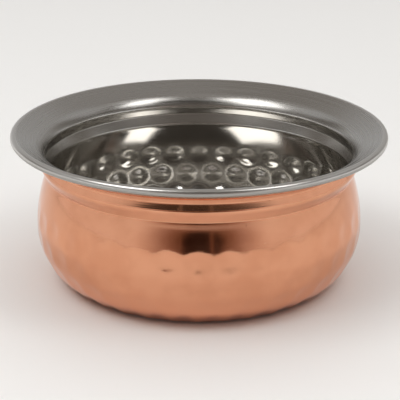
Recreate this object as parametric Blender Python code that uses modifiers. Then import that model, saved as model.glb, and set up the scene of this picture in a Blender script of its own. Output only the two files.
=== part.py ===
# Copper-jacketed handi bowl: a small serving bowl of the kind curries are brought to the table in.
# Metres, +Z up. The origin is the centre of the base's underside, and +Z is the axis of turning.
# Two pressed shells are hammered together and locked by the steel's curled rim.

from math import atan2, cos, hypot, pi, radians, sin, sqrt, tan

import bpy

# Driving dimensions
RIM_RADIUS = 0.0625            # out to the widest circle of the curled rim
RIM_HEIGHT = 0.0496            # of that circle, above the base
CURL_RADIUS = 0.0013           # outside of the hollow rim curl
BASE_RADIUS = 0.0416           # flat that the bowl stands on
BELLY_RADIUS = 0.0547          # widest circle of the copper
BELLY_HEIGHT = 0.0185          # of that circle, above the base
BELLY_POWER = 1.08             # 1 would be a quarter ellipse below the widest circle; more is leaner
SHOULDER_ARC = 0.0500          # radius of the arc that leans in from the belly to the crease

STEEL_WALL = 0.0006
COPPER_WALL = 0.0003
SEAT_GAP = 0.0003              # between the two shells
WALL = STEEL_WALL + SEAT_GAP + COPPER_WALL

# Neck, as the corners of its outer line (radius, height) with the radius that rounds each
CREASE = (0.0513, 0.0366, 0.0006)
NECK_BEAD = (0.0532, 0.0402, 0.0018)
THROAT = (0.0520, 0.0430, 0.0010)

# Flange: steep at the throat, then it flares to a flatter border that runs into the curl
THROAT_SLOPE = radians(62.0)
BORDER_SLOPE = radians(29.0)
FLARE_ROUND = 0.0070

# Hem: the end of the curl, which comes back under the copper's edge
HEM_SLOPE = radians(25.0)
HEM_LENGTH = 0.0030

# Hammer marks: staggered rows of shallow dents round the lower belly
DENTS_ROUND = 36
DENT_ROWS = 4
ROW_PITCH = 0.0080             # along the wall
FIRST_ROW_EDGE = 0.0281        # height where the hammering starts
STEEL_DENT = 0.0006            # depth in the steel, which shows as round bumps inside
COPPER_DENT = 0.00035          # in the copper, which is planed smoother

STEPS = 2 * DENTS_ROUND        # facets round, so that every second one falls on a dent
CURL_STEPS = 6
MERGE = 0.00005


def clear_scene():
    for old in list(bpy.data.objects):
        bpy.data.objects.remove(old, do_unlink=True)


def polar(centre, radius, angle):
    return centre[0] + radius * cos(angle), centre[1] + radius * sin(angle)


def rounded_corner(before, corner, after, radius, steps):
    """Points of the arc that rounds one corner of an outline."""
    to_before = atan2(before[1] - corner[1], before[0] - corner[0])
    to_after = atan2(after[1] - corner[1], after[0] - corner[0])
    turn = (to_after - to_before + pi) % (2 * pi) - pi
    bisector = to_before + turn / 2
    centre = polar(corner, radius / sin(abs(turn) / 2), bisector)
    sweep = pi - abs(turn)
    middle = bisector + pi
    side = 1 if turn > 0 else -1
    return [polar(centre, radius, middle + side * sweep * (0.5 - i / steps)) for i in range(steps + 1)]


def parallel(line, distance):
    """The line moved sideways by a distance, towards the inside of the bowl for a line that runs down."""
    moved = []
    for i, (r, z) in enumerate(line):
        headings = []
        for a, b in ((i - 1, i), (i, i + 1)):
            if a >= 0 and b < len(line):
                headings.append(atan2(line[b][1] - line[a][1], line[b][0] - line[a][0]))
        bend = (headings[-1] - headings[0] + pi) % (2 * pi) - pi
        inward = headings[0] + bend / 2 - pi / 2
        moved.append(polar((r, z), distance / cos(bend / 2), inward))
    return moved


def curl_centre():
    return RIM_RADIUS - CURL_RADIUS, RIM_HEIGHT


def flare_corner(edge):
    """Where the border's straight line from the edge would meet the throat's straight line."""
    rise = edge[1] - THROAT[1] - (edge[0] - THROAT[0]) * tan(BORDER_SLOPE)
    reach = rise / (tan(THROAT_SLOPE) - tan(BORDER_SLOPE))
    return THROAT[0] + reach, THROAT[1] + reach * tan(THROAT_SLOPE)


def flange_line():
    """Outer line of the flange and neck, from the copper's edge inside the curl down to the crease."""
    edge = polar(curl_centre(), CURL_RADIUS - WALL, BORDER_SLOPE + pi / 2)
    flare = flare_corner(edge)
    throat, bead, crease = THROAT[:2], NECK_BEAD[:2], CREASE[:2]
    shoulder_below = shoulder_point(CREASE[1] - 0.001)
    line = [edge]
    line += rounded_corner(edge, flare, throat, FLARE_ROUND, 2)
    line += rounded_corner(flare, throat, bead, THROAT[2], 1)
    line += rounded_corner(throat, bead, crease, NECK_BEAD[2], 2)
    line += rounded_corner(bead, crease, shoulder_below, CREASE[2], 1)
    return line


def shoulder_point(height):
    rise = height - BELLY_HEIGHT
    return BELLY_RADIUS - SHOULDER_ARC + sqrt(SHOULDER_ARC ** 2 - rise ** 2), height


def belly_point(angle):
    """From the widest circle (0) down to the edge of the flat base (pi / 2)."""
    outward = max(cos(angle), 0.0) ** BELLY_POWER
    down = 1 - sin(angle) ** BELLY_POWER
    return BASE_RADIUS + (BELLY_RADIUS - BASE_RADIUS) * outward, BELLY_HEIGHT * down


def wall_line():
    """Shoulder and belly as a fine line from the start of the hammering to the base."""
    arc = [shoulder_point(FIRST_ROW_EDGE + (BELLY_HEIGHT - FIRST_ROW_EDGE) * i / 40) for i in range(40)]
    return arc + [belly_point(pi / 2 * i / 200) for i in range(201)]


def point_along(line, distance):
    """The point at a distance along a fine line."""
    for (r0, z0), (r1, z1) in zip(line, line[1:]):
        length = hypot(r1 - r0, z1 - z0)
        if distance <= length:
            part = distance / length
            return r0 + (r1 - r0) * part, z0 + (z1 - z0) * part
        distance -= length
    return line[-1]


def outer_line():
    """The bowl's outer line, from the copper's edge down to the base's centre, and where its rows start."""
    line = flange_line() + [shoulder_point((CREASE[1] + FIRST_ROW_EDGE) / 2)]
    first_row_ring = len(line)
    fine = wall_line()
    line += [point_along(fine, ROW_PITCH / 2 * i) for i in range(2 * DENT_ROWS + 1)]
    line += [(BASE_RADIUS, 0.0), (0.0, 0.0)]
    return line, first_row_ring


def steel_line(outer):
    """The copper side of the steel: the hem, the curl, then a line inside the copper's."""
    centre = curl_centre()
    inside = CURL_RADIUS - STEEL_WALL
    end_angle = HEM_SLOPE - pi / 2
    start_angle = BORDER_SLOPE + pi / 2
    hem_top = polar(centre, inside, end_angle)
    hem_end = polar(hem_top, HEM_LENGTH, HEM_SLOPE + pi)
    curl = [polar(centre, inside, end_angle + (start_angle - end_angle) * i / CURL_STEPS)
            for i in range(CURL_STEPS)]
    return [hem_end] + curl + parallel(outer, COPPER_WALL + SEAT_GAP)


def turned(name, line):
    """A sheet turned round +Z from an outline that runs down its outer side."""
    mesh = bpy.data.meshes.new(name + "_outline")
    mesh.from_pydata([(r, 0.0, z) for r, z in line], [(i, i + 1) for i in range(len(line) - 1)], [])
    outline = bpy.data.objects.new(name + "_outline", mesh)
    bpy.context.scene.collection.objects.link(outline)
    screw = outline.modifiers.new("turn", 'SCREW')
    screw.axis = 'Z'
    screw.steps = STEPS
    screw.render_steps = STEPS
    screw.use_merge_vertices = True
    screw.merge_threshold = MERGE
    graph = bpy.context.evaluated_depsgraph_get()
    sheet = bpy.data.meshes.new_from_object(outline.evaluated_get(graph))
    bpy.data.objects.remove(outline, do_unlink=True)
    bpy.data.meshes.remove(mesh)
    sheet.name = name
    return sheet


def dent_share(azimuth, row):
    """How deep a place in the staggered pattern is, as a share of the deepest point of a dent."""
    deepest = 0.0
    for near in (int(row) - 1, int(row), int(row) + 1):
        if 0 <= near < DENT_ROWS:
            along = azimuth * DENTS_ROUND / (2 * pi) - 0.5 * (near % 2)
            sideways = along - round(along)
            away = hypot(sideways, row - near - 0.5)
            deepest = max(deepest, 1 - (2 * away) ** 2)
    return deepest


def hammer(sheet, line, outer, first_row_ring, deepest):
    """Drives the dents into a turned sheet, square to the bowl's outer line."""
    inner = parallel(outer, 1.0)
    skipped = len(line) - len(outer)
    for ring in range(2 * DENT_ROWS + 1):
        at = first_row_ring + ring
        r, z = line[at + skipped]
        push_r, push_z = inner[at][0] - outer[at][0], inner[at][1] - outer[at][1]
        for vertex in sheet.vertices:
            x, y, height = vertex.co
            if abs(hypot(x, y) - r) < MERGE and abs(height - z) < MERGE:
                azimuth = atan2(y, x)
                depth = deepest * dent_share(azimuth, ring / 2)
                vertex.co.x += depth * push_r * cos(azimuth)
                vertex.co.y += depth * push_r * sin(azimuth)
                vertex.co.z += depth * push_z


def metal(name, colour, roughness):
    material = bpy.data.materials.new(name)
    material.use_nodes = True
    shader = material.node_tree.nodes["Principled BSDF"]
    shader.inputs["Base Color"].default_value = (*colour, 1.0)
    shader.inputs["Metallic"].default_value = 1.0
    shader.inputs["Roughness"].default_value = roughness
    return material


def shell(name, sheet, wall, material, collection):
    """A piece of sheet metal: the hammered surface is its copper side or outside, the wall goes inwards."""
    sheet.shade_smooth()
    sheet.set_sharp_from_angle(angle=radians(50))
    sheet.materials.append(material)
    piece = bpy.data.objects.new(name, sheet)
    collection.objects.link(piece)
    thickness = piece.modifiers.new("wall", 'SOLIDIFY')
    thickness.thickness = wall
    thickness.offset = -1.0
    thickness.use_even_offset = True
    thickness.use_quality_normals = True
    return piece


def build():
    clear_scene()
    collection = bpy.data.collections.new("handi_bowl")
    bpy.context.scene.collection.children.link(collection)
    outer, first_row_ring = outer_line()

    copper_sheet = turned("copper_jacket", outer)
    hammer(copper_sheet, outer, outer, first_row_ring, COPPER_DENT)
    copper = metal("hammered_copper", (0.88, 0.42, 0.26), 0.18)
    shell("copper_jacket", copper_sheet, COPPER_WALL, copper, collection)

    inner = steel_line(outer)
    steel_sheet = turned("steel_bowl", inner)
    hammer(steel_sheet, inner, outer, first_row_ring, STEEL_DENT)
    steel = metal("polished_steel", (0.60, 0.58, 0.55), 0.25)
    shell("steel_bowl", steel_sheet, STEEL_WALL, steel, collection)


build()
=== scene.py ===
from math import atan2, cos, hypot, pi, radians, sin, sqrt, tan

import bpy
from mathutils import Matrix


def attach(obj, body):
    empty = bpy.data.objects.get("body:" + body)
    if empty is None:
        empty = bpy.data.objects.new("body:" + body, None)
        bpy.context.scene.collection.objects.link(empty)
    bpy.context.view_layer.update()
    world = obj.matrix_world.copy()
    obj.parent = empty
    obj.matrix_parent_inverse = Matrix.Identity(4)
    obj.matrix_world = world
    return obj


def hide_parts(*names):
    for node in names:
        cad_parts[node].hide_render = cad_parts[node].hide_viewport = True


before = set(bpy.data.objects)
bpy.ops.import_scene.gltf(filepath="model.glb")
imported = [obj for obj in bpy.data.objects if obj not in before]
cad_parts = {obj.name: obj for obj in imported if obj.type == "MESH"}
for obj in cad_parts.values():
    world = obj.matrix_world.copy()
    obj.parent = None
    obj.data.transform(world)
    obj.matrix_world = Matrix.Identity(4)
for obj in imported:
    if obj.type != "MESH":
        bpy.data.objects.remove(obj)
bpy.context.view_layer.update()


# Camera, light and floor
# A pale floor inside a tent that is bright low down and dim above, with two softboxes high in front.
# Behind the camera is a dark warm room with two narrow gaps of light, which the polished metal mirrors.
# A wide lamp overhead lights the floor, and isn't seen in reflections.

RIM_HEIGHT = 0.0496
CAMERA_AWAY = 0.4375           # from the middle of the rim
CAMERA_ELEVATION = radians(17.27)
CAMERA_PITCH = radians(20.29)
CAMERA_ROLL = radians(0.17)
CAMERA_SIDEWAYS = 0.00033
LENS_MM = 118.0
SENSOR_MM = 36.0
NEAREST_SEEN = 0.01

camera_data = bpy.data.cameras.new("camera")
camera_data.lens = LENS_MM
camera_data.sensor_width = SENSOR_MM
camera_data.clip_start = NEAREST_SEEN
camera = bpy.data.objects.new("camera", camera_data)
bpy.context.scene.collection.objects.link(camera)
turned_down = Matrix.Rotation(pi / 2 - CAMERA_PITCH, 4, 'X') @ Matrix.Rotation(CAMERA_ROLL, 4, 'Z')
camera.matrix_world = Matrix.Translation((
    CAMERA_SIDEWAYS,
    -CAMERA_AWAY * cos(CAMERA_ELEVATION),
    RIM_HEIGHT + CAMERA_AWAY * sin(CAMERA_ELEVATION))) @ turned_down
bpy.context.scene.camera = camera
bpy.context.scene.view_settings.view_transform = 'Standard'

SOFTBOX_AWAY = 1.2
SOFTBOX_ELEVATION = radians(57)
SOFTBOX_HEIGHT = 0.56
SOFTBOX_RADIANCE = 3.2
LEFT_SOFTBOX_AZIMUTH = radians(-60)
LEFT_SOFTBOX_WIDTH = 0.66
RIGHT_SOFTBOX_AZIMUTH = radians(62)
RIGHT_SOFTBOX_WIDTH = 0.36

FILL_SIZE = 6.0
FILL_HEIGHT = 2.5
FILL_WATTS = 90.0


def lamp(name, width, height, watts, place):
    light = bpy.data.lights.new(name, 'AREA')
    light.shape = 'RECTANGLE'
    light.size = width
    light.size_y = height
    light.energy = watts
    lamp_head = bpy.data.objects.new(name, light)
    bpy.context.scene.collection.objects.link(lamp_head)
    lamp_head.matrix_world = place
    return lamp_head


def softbox(name, azimuth, width):
    """A softbox aimed at the bowl. Azimuth 0 is in front of it, where the camera is."""
    aimed = (Matrix.Rotation(azimuth, 4, 'Z')
             @ Matrix.Rotation(pi / 2 - SOFTBOX_ELEVATION, 4, 'X')
             @ Matrix.Translation((0, 0, SOFTBOX_AWAY)))
    lamp(name, width, SOFTBOX_HEIGHT, SOFTBOX_RADIANCE * pi * width * SOFTBOX_HEIGHT, aimed)


softbox("softbox_left", LEFT_SOFTBOX_AZIMUTH, LEFT_SOFTBOX_WIDTH)
softbox("softbox_right", RIGHT_SOFTBOX_AZIMUTH, RIGHT_SOFTBOX_WIDTH)
fill = lamp("floor_fill", FILL_SIZE, FILL_SIZE, FILL_WATTS, Matrix.Translation((0, 0, FILL_HEIGHT)))
fill.visible_glossy = False

# The tent's brightness by the sine of the elevation, which is 0 level with the floor and 1 overhead
TENT_IN_FRONT = ((0.0, 0.88), (0.298, 0.85), (0.334, 0.06), (0.44, 0.06), (0.49, 0.15), (0.58, 0.13),
                 (0.72, 0.05), (0.87, 0.06), (0.98, 0.31), (1.0, 0.34))
TENT_BESIDE = ((0.0, 0.88), (0.16, 0.85), (0.22, 0.12), (0.43, 0.12), (0.50, 0.50), (0.68, 0.50),
               (0.80, 0.31), (0.95, 0.31), (1.0, 0.34))
TENT_BEHIND = ((0.0, 0.50), (0.30, 0.45), (0.52, 0.42), (0.70, 0.31), (0.95, 0.31), (1.0, 0.34))
SIDE_BEGINS = (radians(84), radians(99))       # azimuths over which the front goes over into the side
BACK_BEGINS = (radians(125), radians(148))     # and the side into the back
BACK_LOW_LEFT = 0.55                           # how much brighter the back is on the left, low down
BACK_HIGH_RIGHT = 1.2                          # and on the right, high up
DIM_TENT = (1.0, 0.86, 0.74)                   # tint of the tent where it is dim
DIM_TO_BRIGHT = (0.05, 0.55)                   # brightness over which that tint fades

# The dark room behind the camera: its middle, and the angles from it over which it grows lighter
ROOM_COLOUR = (1.0, 0.66, 0.56)
ROOM_AZIMUTH = radians(2)
ROOM_ELEVATION = radians(6.5)
ROOM_FLATNESS = 1.5                            # how much wider than high it is
ROOM_CORE = (radians(10), radians(19))
ROOM_HALO = (radians(14), radians(50))
DARKEST_LIGHT = 0.03                           # share of the tent's light that is left in the middle
CORE_EDGE_LIGHT = 0.22                         # and at the core's edge

# Elevations over which the room ends, and the azimuths, width and height of its gaps of light
ROOM_BOTTOM = (radians(-4), radians(0))
ROOM_TOP = (radians(14.5), radians(19))
GAPS = (radians(-12.7), radians(8.8))
GAP_HALF_WIDTH = radians(2.4)
GAP_TOP = (radians(30), radians(38))
GAP_LIGHT = 0.20

world = bpy.data.worlds.new("studio")
bpy.context.scene.world = world
world.use_nodes = True
studio = world.node_tree


def studio_math(operation, *sources):
    node = studio.nodes.new('ShaderNodeMath')
    node.operation = operation
    for socket, source in zip(node.inputs, sources):
        if isinstance(source, bpy.types.NodeSocket):
            studio.links.new(source, socket)
        else:
            socket.default_value = source
    return node.outputs[0]


def studio_step(value, span, low=0.0, high=1.0):
    """A number that goes smoothly from low to high as the value crosses the span."""
    node = studio.nodes.new('ShaderNodeMapRange')
    node.interpolation_type = 'SMOOTHSTEP'
    studio.links.new(value, node.inputs["Value"])
    limits = {"From Min": span[0], "From Max": span[1], "To Min": low, "To Max": high}
    for name, number in limits.items():
        node.inputs[name].default_value = number
    return node.outputs["Result"]


def studio_mix(share, a, b):
    rest = studio_math('SUBTRACT', 1.0, share)
    return studio_math('ADD', studio_math('MULTIPLY', a, rest), studio_math('MULTIPLY', b, share))


direction = studio.nodes.new('ShaderNodeSeparateXYZ')
studio.links.new(studio.nodes.new('ShaderNodeTexCoord').outputs["Generated"], direction.inputs[0])
to_right, to_back, up = direction.outputs
azimuth = studio_math('ARCTAN2', to_right, studio_math('MULTIPLY', to_back, -1.0))
elevation = studio_math('ARCSINE', up)


def tent_wall(greys):
    wall = studio.nodes.new('ShaderNodeValToRGB')
    wall.color_ramp.interpolation = 'EASE'
    studio.links.new(up, wall.inputs["Fac"])
    stops = wall.color_ramp.elements
    for height, _ in greys[1:-1]:
        stops.new(height)
    for stop, (height, grey) in zip(stops, greys):
        stop.position = height
        stop.color = (grey, grey, grey, 1)
    return wall.outputs["Color"]


from_front = studio_math('ABSOLUTE', azimuth)
lean = studio_math('SUBTRACT', studio_math('MULTIPLY', up, BACK_HIGH_RIGHT), BACK_LOW_LEFT)
leaning = studio_math('ADD', 1.0, studio_math('MULTIPLY', to_right, lean))
back = studio_math('MULTIPLY', tent_wall(TENT_BEHIND), leaning)
tent = studio_mix(studio_step(from_front, SIDE_BEGINS), tent_wall(TENT_IN_FRONT), tent_wall(TENT_BESIDE))
tent = studio_mix(studio_step(from_front, BACK_BEGINS), tent, back)

sideways = studio_math('SUBTRACT', azimuth, ROOM_AZIMUTH)
off_level = studio_math('MULTIPLY', studio_math('SUBTRACT', elevation, ROOM_ELEVATION), ROOM_FLATNESS)
from_middle = studio_math('SQRT', studio_math('ADD', studio_math('MULTIPLY', sideways, sideways),
                                              studio_math('MULTIPLY', off_level, off_level)))
beside_room = studio_math('ADD', studio_step(from_middle, ROOM_CORE, DARKEST_LIGHT, CORE_EDGE_LIGHT),
                          studio_step(from_middle, ROOM_HALO, 0.0, 1.0 - CORE_EDGE_LIGHT))
around_room = studio_math('MAXIMUM', studio_step(elevation, ROOM_TOP),
                          studio_step(elevation, ROOM_BOTTOM, 1.0, 0.0))
outside_room = studio_math('ADD', beside_room, studio_math('MULTIPLY', around_room,
                                                           studio_math('SUBTRACT', 1.0, beside_room)))
studio_light = studio_math('MULTIPLY', tent, outside_room)
for gap in GAPS:
    off_gap = studio_math('ABSOLUTE', studio_math('SUBTRACT', azimuth, gap))
    in_gap = studio_step(off_gap, (0.0, GAP_HALF_WIDTH), GAP_LIGHT, 0.0)
    below_top = studio_step(elevation, GAP_TOP, 1.0, 0.0)
    studio_light = studio_math('MAXIMUM', studio_light, studio_math('MULTIPLY', in_gap, below_top))

bright = studio_step(studio_light, DIM_TO_BRIGHT)
studio_colour = studio.nodes.new('ShaderNodeCombineXYZ')
for channel, (room, dim) in enumerate(zip(ROOM_COLOUR, DIM_TENT)):
    room_tint = studio_math('ADD', room, studio_math('MULTIPLY', outside_room, 1.0 - room))
    tent_tint = studio_math('ADD', dim, studio_math('MULTIPLY', bright, 1.0 - dim))
    tinted = studio_math('MULTIPLY', studio_math('MULTIPLY', studio_light, room_tint), tent_tint)
    studio.links.new(tinted, studio_colour.inputs[channel])
studio.links.new(studio_colour.outputs[0], studio.nodes["Background"].inputs["Color"])

FLOOR_SIZE = 2.4
FLOOR_COLOUR = (0.86, 0.855, 0.84)
FLOOR_ROUGHNESS = 0.6

bpy.ops.object.select_all(action='DESELECT')
bpy.ops.mesh.primitive_plane_add(size=FLOOR_SIZE, location=(0, 0, 0))
floor = bpy.context.object
floor.name = "floor"
pale_floor = bpy.data.materials.new("pale_floor")
pale_floor.use_nodes = True
pale_shader = pale_floor.node_tree.nodes["Principled BSDF"]
pale_shader.inputs["Base Color"].default_value = (*FLOOR_COLOUR, 1)
pale_shader.inputs["Roughness"].default_value = FLOOR_ROUGHNESS
floor.data.materials.append(pale_floor)


# Copper jacket
# The outer bowl: one thin copper sheet, spun to shape and polished, then hammered together with the
# steel. Its top edge is caught inside the steel's curled rim, which holds the two bowls together.

RIM_RADIUS = 0.0625            # out to the widest circle of the curled rim
CURL_RADIUS = 0.0013
BASE_RADIUS = 0.0416
BELLY_RADIUS = 0.0547
BELLY_HEIGHT = 0.0185
BELLY_POWER = 1.08             # 1 would be a quarter ellipse below the widest circle; more is leaner
SHOULDER_ARC = 0.0500
COPPER_WALL = 0.0003
SEAT_GAP = 0.00002
STEEL_WALL = 0.0006
WALL = COPPER_WALL + SEAT_GAP + STEEL_WALL

# Neck and flange, as the corners of the outer line (radius, height) and the radius that rounds each
CREASE = (0.0513, 0.0366)
NECK_BEAD = (0.0532, 0.0402)
THROAT = (0.0520, 0.0430)
CREASE_ROUND = 0.0006
BEAD_ROUND = 0.0018
THROAT_ROUND = 0.0010
FLARE_ROUND = 0.0070
THROAT_SLOPE = radians(62.0)
BORDER_SLOPE = radians(29.0)
JUST_BELOW_CREASE = 0.0010

# Hammer marks: staggered rows of dents round the lower belly
DENTS_ROUND = 36
DENT_ROWS = 4
ROW_PITCH = 0.0080             # along the wall
FIRST_ROW_EDGE = 0.0281        # height where the hammering starts
COPPER_DENT = 0.00037
COPPER_SPREAD = 0.52           # reach of a dent, in pitches
DENT_SHARPNESS = 1.5

# How much the blows differ: in place and reach, in pitches, and in force, as a share of the full depth
ASTRAY_ROUND = 0.07
ASTRAY_ALONG = 0.08
UNEVEN_SPREAD = 0.06
LIGHTEST_BLOW = 0.85
UNEVEN_FORCE = 0.3

# The scatter that the blows are drawn from, and what is added to a blow's number for each draw
SCATTER_STRIDE = 12.9898
SCATTER_START = 4.1414
SCATTER_STRETCH = 43758.5453
ALONG_DRAW = 0.37
SPREAD_DRAW = 0.71
FORCE_DRAW = 0.53

# How finely the sheets are drawn
FACETS_ROUND = 360
RINGS_PER_ROW = 9
WALL_PITCH = ROW_PITCH / RINGS_PER_ROW
BORDER_STEPS = 4
FLARE_STEPS = 12
THROAT_STEPS = 5
BEAD_STEPS = 7
CREASE_STEPS = 4
SHOULDER_STEPS = 8
BASE_STEPS = 6
UPPER_FINE_STEPS = 100
LOWER_FINE_STEPS = 400
SHARP_ANGLE = radians(50)


def polar(centre, radius, angle):
    return centre[0] + radius * cos(angle), centre[1] + radius * sin(angle)


def rounded_corner(before, corner, after, radius, steps):
    """Points of the arc that rounds one corner of an outline."""
    to_before = atan2(before[1] - corner[1], before[0] - corner[0])
    to_after = atan2(after[1] - corner[1], after[0] - corner[0])
    turn = (to_after - to_before + pi) % (2 * pi) - pi
    bisector = to_before + turn / 2
    centre = polar(corner, radius / sin(abs(turn) / 2), bisector)
    sweep = (pi - abs(turn)) * (1 if turn > 0 else -1)
    return [polar(centre, radius, bisector + pi + sweep * (0.5 - i / steps)) for i in range(steps + 1)]


def flare_corner(edge):
    """Where the border's straight line from the edge would meet the throat's straight line."""
    rise = edge[1] - THROAT[1] - (edge[0] - THROAT[0]) * tan(BORDER_SLOPE)
    reach = rise / (tan(THROAT_SLOPE) - tan(BORDER_SLOPE))
    return THROAT[0] + reach, THROAT[1] + reach * tan(THROAT_SLOPE)


def shoulder_point(height):
    reach = sqrt(SHOULDER_ARC ** 2 - (height - BELLY_HEIGHT) ** 2)
    return BELLY_RADIUS - SHOULDER_ARC + reach, height


def belly_point(angle):
    """From the widest circle (0) down to the edge of the flat base (pi / 2)."""
    outward = max(cos(angle), 0.0) ** BELLY_POWER
    down = 1 - sin(angle) ** BELLY_POWER
    return BASE_RADIUS + (BELLY_RADIUS - BASE_RADIUS) * outward, BELLY_HEIGHT * down


def evenly(line, pitch):
    """Points a pitch apart along a line."""
    points = [line[0]]
    wanted = pitch
    gone = 0.0
    for (r0, z0), (r1, z1) in zip(line, line[1:]):
        length = hypot(r1 - r0, z1 - z0)
        while wanted <= gone + length:
            part = (wanted - gone) / length
            points.append((r0 + (r1 - r0) * part, z0 + (z1 - z0) * part))
            wanted += pitch
        gone += length
    return points


def hammered_wall():
    """The lower shoulder and the belly, with a ring at every step of the rows of dents."""
    drop = BELLY_HEIGHT - FIRST_ROW_EDGE
    fine = [shoulder_point(FIRST_ROW_EDGE + drop * i / UPPER_FINE_STEPS)
            for i in range(UPPER_FINE_STEPS)]
    fine += [belly_point(pi / 2 * i / LOWER_FINE_STEPS) for i in range(LOWER_FINE_STEPS + 1)]
    return evenly(fine, WALL_PITCH)


def copper_outline():
    """From the edge inside the curl down to the middle of the base, and where the dents start."""
    edge = polar((RIM_RADIUS - CURL_RADIUS, RIM_HEIGHT), CURL_RADIUS - WALL, BORDER_SLOPE + pi / 2)
    flare = flare_corner(edge)
    flare_arc = rounded_corner(edge, flare, THROAT, FLARE_ROUND, FLARE_STEPS)
    below_crease = shoulder_point(CREASE[1] - JUST_BELOW_CREASE)
    inward = flare_arc[0][0] - edge[0]
    down = flare_arc[0][1] - edge[1]
    line = [(edge[0] + inward * i / BORDER_STEPS, edge[1] + down * i / BORDER_STEPS)
            for i in range(BORDER_STEPS)]
    line += flare_arc
    line += rounded_corner(flare, THROAT, NECK_BEAD, THROAT_ROUND, THROAT_STEPS)
    line += rounded_corner(THROAT, NECK_BEAD, CREASE, BEAD_ROUND, BEAD_STEPS)
    line += rounded_corner(NECK_BEAD, CREASE, below_crease, CREASE_ROUND, CREASE_STEPS)
    top = line[-1][1]
    line += [shoulder_point(top + (FIRST_ROW_EDGE - top) * i / SHOULDER_STEPS)
             for i in range(1, SHOULDER_STEPS)]
    first_dent_ring = len(line)
    line += hammered_wall()
    line += [(BASE_RADIUS * i / BASE_STEPS, 0.0) for i in range(BASE_STEPS, -1, -1)]
    return line, first_dent_ring


def drawn_down(name, outline):
    """A ring at the sheet's edge, extruded and resized ring by ring down to the middle of the base."""
    bpy.ops.object.select_all(action='DESELECT')
    r, z = outline[0]
    bpy.ops.mesh.primitive_circle_add(vertices=FACETS_ROUND, radius=r, location=(0, 0, z))
    sheet = bpy.context.object
    sheet.name = name
    bpy.ops.object.transform_apply(location=True, rotation=True, scale=True)
    bpy.ops.object.mode_set(mode='EDIT')
    bpy.ops.mesh.select_all(action='SELECT')
    for (r0, z0), (r1, z1) in zip(outline, outline[1:]):
        bpy.ops.mesh.extrude_region_move(TRANSFORM_OT_translate={"value": (0, 0, z1 - z0)})
        bpy.ops.transform.resize(value=(r1 / r0, r1 / r0, 1), center_override=(0, 0, z1))
    bpy.ops.mesh.merge(type='CENTER')
    bpy.ops.object.mode_set(mode='OBJECT')
    return sheet


def uneven(number):
    """A fixed scatter from 0 to 1, different for each number."""
    return sin(number * SCATTER_STRIDE + SCATTER_START) * SCATTER_STRETCH % 1


def blow_depth(azimuth, row, spread):
    """How hard the wall is driven in at a place, as a share of the deepest dent."""
    deepest = 0.0
    for near in (int(row) - 1, int(row), int(row) + 1):
        if 0 <= near < DENT_ROWS:
            around = azimuth * DENTS_ROUND / (2 * pi) - 0.5 * (near % 2)
            count = round(around)
            blow = near * DENTS_ROUND + count % DENTS_ROUND
            aside = around - count + ASTRAY_ROUND * (uneven(blow) - 0.5)
            along = row - near - 0.5 + ASTRAY_ALONG * (uneven(blow + ALONG_DRAW) - 0.5)
            reach = spread + UNEVEN_SPREAD * (uneven(blow + SPREAD_DRAW) - 0.5)
            away = hypot(aside, along) / reach
            force = LIGHTEST_BLOW + UNEVEN_FORCE * uneven(blow + FORCE_DRAW)
            if away < 1:
                deepest = max(deepest, force * (1 - away ** 2) ** DENT_SHARPNESS)
    return min(deepest, 1.0)


def hammered(sheet, first_ring, deepest, spread):
    """The staggered rows of dents round the belly, driven in square to the wall."""
    blows = sheet.vertex_groups.new(name="blows")
    for ring in range(DENT_ROWS * RINGS_PER_ROW + 1):
        for i in range(FACETS_ROUND):
            vertex = (first_ring + ring) * FACETS_ROUND + i
            place = sheet.data.vertices[vertex].co
            depth = blow_depth(atan2(place.y, place.x), ring / RINGS_PER_ROW, spread)
            if depth > 0:
                blows.add([vertex], depth, 'REPLACE')
    dents = sheet.modifiers.new("dents", 'DISPLACE')
    dents.vertex_group = "blows"
    dents.mid_level = 0.0
    dents.strength = -deepest
    bpy.context.view_layer.objects.active = sheet
    bpy.ops.object.modifier_apply(modifier="dents")


def walled(sheet, thickness, side):
    """Gives a sheet its thickness, on the side that its faces point to (1) or away from (-1)."""
    wall = sheet.modifiers.new("wall", 'SOLIDIFY')
    wall.thickness = thickness
    wall.offset = side
    wall.use_even_offset = True
    wall.use_quality_normals = True
    bpy.context.view_layer.objects.active = sheet
    bpy.ops.object.modifier_apply(modifier="wall")
    sheet.data.shade_smooth()
    bpy.ops.object.select_all(action='DESELECT')
    sheet.select_set(True)
    bpy.ops.object.shade_smooth_by_angle(angle=SHARP_ANGLE)


GRAIN_DETAIL = 2.0


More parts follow.
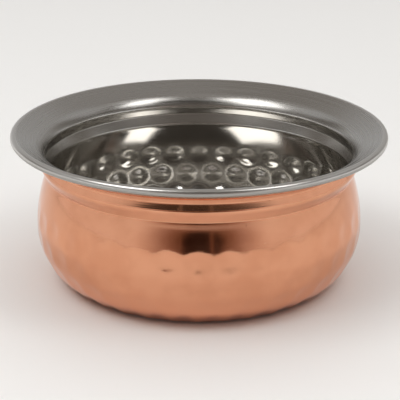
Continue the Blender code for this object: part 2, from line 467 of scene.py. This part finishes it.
class Finish:
    """A metal whose nodes read the piece's own height, radius and bearing round the axis."""

    def __init__(self, name, colour, roughness):
        self.material = bpy.data.materials.new(name)
        self.material.use_nodes = True
        self.tree = self.material.node_tree
        self.shader = self.tree.nodes["Principled BSDF"]
        self.shader.inputs["Metallic"].default_value = 1.0
        self.shader.inputs["Base Color"].default_value = (*colour, 1)
        self.shader.inputs["Roughness"].default_value = roughness
        self.place = self.node('ShaderNodeTexCoord').outputs["Object"]
        x, y, self.height = self.node('ShaderNodeSeparateXYZ', self.place).outputs
        flat = self.node('ShaderNodeCombineXYZ', x, y).outputs[0]
        self.radius = self.node('ShaderNodeVectorMath', flat, operation='LENGTH').outputs["Value"]
        self.bearing = self.math('ARCTAN2', y, x)

    def node(self, kind, *sources, **settings):
        node = self.tree.nodes.new(kind)
        for key, value in settings.items():
            setattr(node, key, value)
        for socket, source in zip(node.inputs, sources):
            if source is not None:
                self.feed(socket, source)
        return node

    def feed(self, socket, source):
        if isinstance(source, bpy.types.NodeSocket):
            self.tree.links.new(source, socket)
        else:
            socket.default_value = source

    def shade(self, name, source):
        self.feed(self.shader.inputs[name], source)

    def math(self, operation, a, b):
        return self.node('ShaderNodeMath', a, b, operation=operation).outputs[0]

    def ramp(self, value, span, low=0.0, high=1.0):
        """A number that goes smoothly from low to high as the value crosses the span."""
        node = self.node('ShaderNodeMapRange', value, *span, low, high, interpolation_type='SMOOTHSTEP')
        return node.outputs["Result"]

    def between(self, share, a, b):
        return self.node('ShaderNodeMix', share, None, a, b).outputs[0]

    def blend(self, share, a, b):
        """A colour that goes from a to b as the share goes from 0 to 1."""
        node = self.node('ShaderNodeMix', share, data_type='RGBA')
        colour_inputs = [socket for socket in node.inputs if socket.type == 'RGBA']
        for socket, colour in zip(colour_inputs, (a, b)):
            self.feed(socket, colour if isinstance(colour, bpy.types.NodeSocket) else (*colour, 1))
        return [socket for socket in node.outputs if socket.type == 'RGBA'][0]

    def noise(self, vector, scale, detail):
        node = self.node('ShaderNodeTexNoise')
        self.feed(node.inputs["Vector"], vector)
        node.inputs["Scale"].default_value = scale
        node.inputs["Detail"].default_value = detail
        return node.outputs["Fac"]

    def grain(self, across, along):
        """Fine lines that run round the axis, as spinning and polishing leave them."""
        outward = self.math('MULTIPLY', self.radius, across)
        upward = self.math('MULTIPLY', self.height, across)
        round_about = self.math('MULTIPLY', self.bearing, along)
        vector = self.node('ShaderNodeCombineXYZ', outward, upward, round_about).outputs[0]
        return self.noise(vector, 1.0, GRAIN_DETAIL)

    def bump(self, height, distance, over=None):
        node = self.node('ShaderNodeBump')
        node.inputs["Strength"].default_value = 1.0
        node.inputs["Distance"].default_value = distance
        self.feed(node.inputs["Height"], height)
        if over is not None:
            self.feed(node.inputs["Normal"], over)
        return node.outputs["Normal"]


PLAIN_COPPER = (0.80, 0.375, 0.225)
CLEAR_COPPER = (0.745, 0.348, 0.205)
CLOUDED_COPPER = (0.68, 0.302, 0.172)
# Lighter copper low on the belly: painted light, brightening the shaded floor that this part mirrors
LIGHTENED_LOW_COPPER = (0.83, 0.388, 0.23)
# Dark copper at the very bottom edge: painted shade where the bowl stands on the floor
CONTACT_SHADE_COPPER = (0.50, 0.19, 0.10)
PLAIN_COPPER_ROUGHNESS = 0.12
COPPER_ROUGHNESS = (0.07, 0.13)
HAMMERED_COPPER_ROUGHER = 0.04

# Heights over which the copper's surface changes; low down its colour holds painted light, and at the
# very bottom edge painted shade
COPPER_HAMMERED_BELOW = (0.0265, 0.0295)
# below these heights the copper is made lighter, as painted light
PAINTED_LIGHT_BELOW = (0.0060, 0.0160)
# below these heights the copper takes its painted shade
CONTACT_SHADE_BELOW = (0.0003, 0.0022)

# Patterns in the copper: waves per metre and detail, and how far up a wave its look begins and is full
COPPER_CLOUDS = (110.0, 4.0)
COPPER_CLOUD_EDGE = (0.35, 0.7)
COPPER_SMEARS = (25.0, 3.0)
COPPER_SMEAR_EDGE = (0.3, 0.75)
PLANISHING = (170.0, 2.0)
PLANISHING_DEPTH = 0.00011
PITS = (600.0, 1.0)
PIT_EDGE = (0.72, 0.80)
PIT_DEPTH = 0.00001
LINES_ACROSS = 2600.0          # spinning lines per metre
COPPER_LINES_ALONG = 6.0       # waves per radian along a line
COPPER_LINE_DEPTH = 0.0000025


def polished_copper():
    finish = Finish("polished_copper", PLAIN_COPPER, PLAIN_COPPER_ROUGHNESS)
    clouds = finish.ramp(finish.noise(finish.place, *COPPER_CLOUDS), COPPER_CLOUD_EDGE)
    # painted light: the copper is made lighter towards the bottom
    painted_light = finish.ramp(finish.height, PAINTED_LIGHT_BELOW, 1.0, 0.0)
    # painted shade along the bottom edge, where the bowl meets the floor
    contact_shade = finish.ramp(finish.height, CONTACT_SHADE_BELOW, 1.0, 0.0)
    colour = finish.blend(clouds, CLEAR_COPPER, CLOUDED_COPPER)
    colour = finish.blend(painted_light, colour, LIGHTENED_LOW_COPPER)
    finish.shade("Base Color", finish.blend(contact_shade, colour, CONTACT_SHADE_COPPER))

    hammered_half = finish.ramp(finish.height, COPPER_HAMMERED_BELOW, 1.0, 0.0)
    smears = finish.ramp(finish.noise(finish.place, *COPPER_SMEARS), COPPER_SMEAR_EDGE, *COPPER_ROUGHNESS)
    rougher = finish.math('MULTIPLY', hammered_half, HAMMERED_COPPER_ROUGHER)
    finish.shade("Roughness", finish.math('ADD', smears, rougher))

    planished = finish.math('MULTIPLY', finish.noise(finish.place, *PLANISHING), hammered_half)
    pits = finish.ramp(finish.noise(finish.place, *PITS), PIT_EDGE)
    lines = finish.grain(LINES_ACROSS, COPPER_LINES_ALONG)
    relief = finish.bump(planished, PLANISHING_DEPTH)
    relief = finish.bump(lines, COPPER_LINE_DEPTH, relief)
    finish.shade("Normal", finish.bump(pits, -PIT_DEPTH, relief))
    return finish.material


copper_line, first_dent_ring = copper_outline()
jacket = drawn_down("copper_jacket_spun", copper_line)
hammered(jacket, first_dent_ring, COPPER_DENT, COPPER_SPREAD)
walled(jacket, COPPER_WALL, -1.0)
jacket.data.materials.append(polished_copper())
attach(jacket, "root")
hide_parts("copper_jacket")


# Steel bowl
# The inner bowl: one pressed stainless sheet, polished inside, with a satin flange. Its rim is
# rolled over the copper's edge and back under as a hollow curl, whose hem grips the copper.

HEM_SLOPE = radians(25.0)
HEM_LENGTH = 0.0030
HEM_STEPS = 3
CURL_STEPS = 18
STEEL_DENT = 0.00095
STEEL_SPREAD = 0.47


def parallel(line, distance):
    """The outline moved sideways, towards the inside of the bowl."""
    moved = []
    for i, (r, z) in enumerate(line):
        headings = [atan2(line[b][1] - line[a][1], line[b][0] - line[a][0])
                    for a, b in ((i - 1, i), (i, i + 1)) if a >= 0 and b < len(line)]
        bend = (headings[-1] - headings[0] + pi) % (2 * pi) - pi
        moved.append(polar((r, z), distance / cos(bend / 2), headings[0] + bend / 2 - pi / 2))
    return moved


def steel_outline():
    """The food side of the steel: the hem, the curl, then a line inside the copper's."""
    centre = (RIM_RADIUS - CURL_RADIUS, RIM_HEIGHT)
    hem_angle = HEM_SLOPE - pi / 2
    sweep = BORDER_SLOPE + pi / 2 - hem_angle
    hem_top = polar(centre, CURL_RADIUS, hem_angle)
    hem = [polar(hem_top, HEM_LENGTH * (HEM_STEPS - i) / HEM_STEPS, HEM_SLOPE + pi)
           for i in range(HEM_STEPS)]
    curl = [polar(centre, CURL_RADIUS, hem_angle + sweep * i / CURL_STEPS) for i in range(CURL_STEPS)]
    return hem + curl + parallel(copper_line, WALL)


PLAIN_STEEL = (0.60, 0.58, 0.55)
CLEAR_STEEL = (0.64, 0.62, 0.585)
CLOUDED_STEEL = (0.60, 0.58, 0.545)
# Lighter steel over the hammered belly: painted light, brightening the dents
BRIGHTENED_HAMMERED_STEEL = (0.72, 0.70, 0.66)
SATIN_STEEL = (0.53, 0.515, 0.49)
CURL_STEEL = (0.68, 0.66, 0.63)
# Dark steel on the lower, outward side of the curl: painted shade, dimming the floor it mirrors
SHADED_UNDERCURL_STEEL = (0.36, 0.35, 0.33)
PLAIN_STEEL_ROUGHNESS = 0.1
STEEL_ROUGHNESS = (0.08, 0.13)
HAMMERED_STEEL_ROUGHER = 0.06
NECK_ROUGHNESS = 0.25
SATIN_ROUGHNESS = (0.23, 0.31)
CURL_ROUGHNESS = 0.29

# Heights over which the steel's surface changes, and the radii over which the flange becomes the curl
STEEL_HAMMERED_BELOW = (0.0262, 0.0280)
STEEL_HAMMERED_ABOVE = (0.0012, 0.0030)
NECK_ABOVE = (0.0360, 0.0375)
SATIN_ABOVE = (0.0434, 0.0444)
# below these heights the curl takes its painted shade
UNDERCURL_SHADE_BELOW = (0.0494, 0.0502)
CURL_OUTSIDE = (0.0603, 0.0609)

# Patterns in the steel, given as those in the copper
STEEL_CLOUDS = (45.0, 4.0)
STEEL_CLOUD_EDGE = (0.3, 0.75)
STEEL_SMEARS = (30.0, 3.0)
STEEL_SMEAR_EDGE = (0.3, 0.75)
GRAIN_ACROSS = 1800.0
GRAIN_ALONG = 2.0
GRAIN_EDGE = (0.3, 0.7)
STEEL_LINES_ALONG = 3.0
STEEL_LINE_DEPTH = 0.000005


def stainless_steel():
    finish = Finish("stainless_steel", PLAIN_STEEL, PLAIN_STEEL_ROUGHNESS)
    below_shoulder = finish.ramp(finish.height, STEEL_HAMMERED_BELOW, 1.0, 0.0)
    above_base = finish.ramp(finish.height, STEEL_HAMMERED_ABOVE)
    hammered_belly = finish.math('MULTIPLY', below_shoulder, above_base)
    neck = finish.ramp(finish.height, NECK_ABOVE)
    satin = finish.ramp(finish.height, SATIN_ABOVE)
    curl = finish.ramp(finish.radius, CURL_OUTSIDE)
    # painted shade on the underside of the curl
    undercurl_shade = finish.ramp(finish.height, UNDERCURL_SHADE_BELOW, 1.0, 0.0)

    clouds = finish.ramp(finish.noise(finish.place, *STEEL_CLOUDS), STEEL_CLOUD_EDGE)
    colour = finish.blend(clouds, CLEAR_STEEL, CLOUDED_STEEL)
    # painted light: the hammered belly is made lighter than the rest of the steel
    colour = finish.blend(hammered_belly, colour, BRIGHTENED_HAMMERED_STEEL)
    colour = finish.blend(satin, colour, SATIN_STEEL)
    curl_colour = finish.blend(undercurl_shade, CURL_STEEL, SHADED_UNDERCURL_STEEL)
    finish.shade("Base Color", finish.blend(curl, colour, curl_colour))

    rough = finish.ramp(finish.noise(finish.place, *STEEL_SMEARS), STEEL_SMEAR_EDGE, *STEEL_ROUGHNESS)
    rough = finish.math('ADD', rough, finish.math('MULTIPLY', hammered_belly, HAMMERED_STEEL_ROUGHER))
    rough = finish.between(neck, rough, NECK_ROUGHNESS)
    satin_rough = finish.ramp(finish.grain(GRAIN_ACROSS, GRAIN_ALONG), GRAIN_EDGE, *SATIN_ROUGHNESS)
    rough = finish.between(satin, rough, satin_rough)
    finish.shade("Roughness", finish.between(curl, rough, CURL_ROUGHNESS))

    lines = finish.math('MULTIPLY', finish.grain(LINES_ACROSS, STEEL_LINES_ALONG), satin)
    finish.shade("Normal", finish.bump(lines, STEEL_LINE_DEPTH))
    return finish.material


food_side = steel_outline()
bowl = drawn_down("steel_bowl_pressed", food_side)
hammered(bowl, first_dent_ring + len(food_side) - len(copper_line), STEEL_DENT, STEEL_SPREAD)
walled(bowl, STEEL_WALL, 1.0)
bowl.data.materials.append(stainless_steel())
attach(bowl, "root")
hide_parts("steel_bowl")
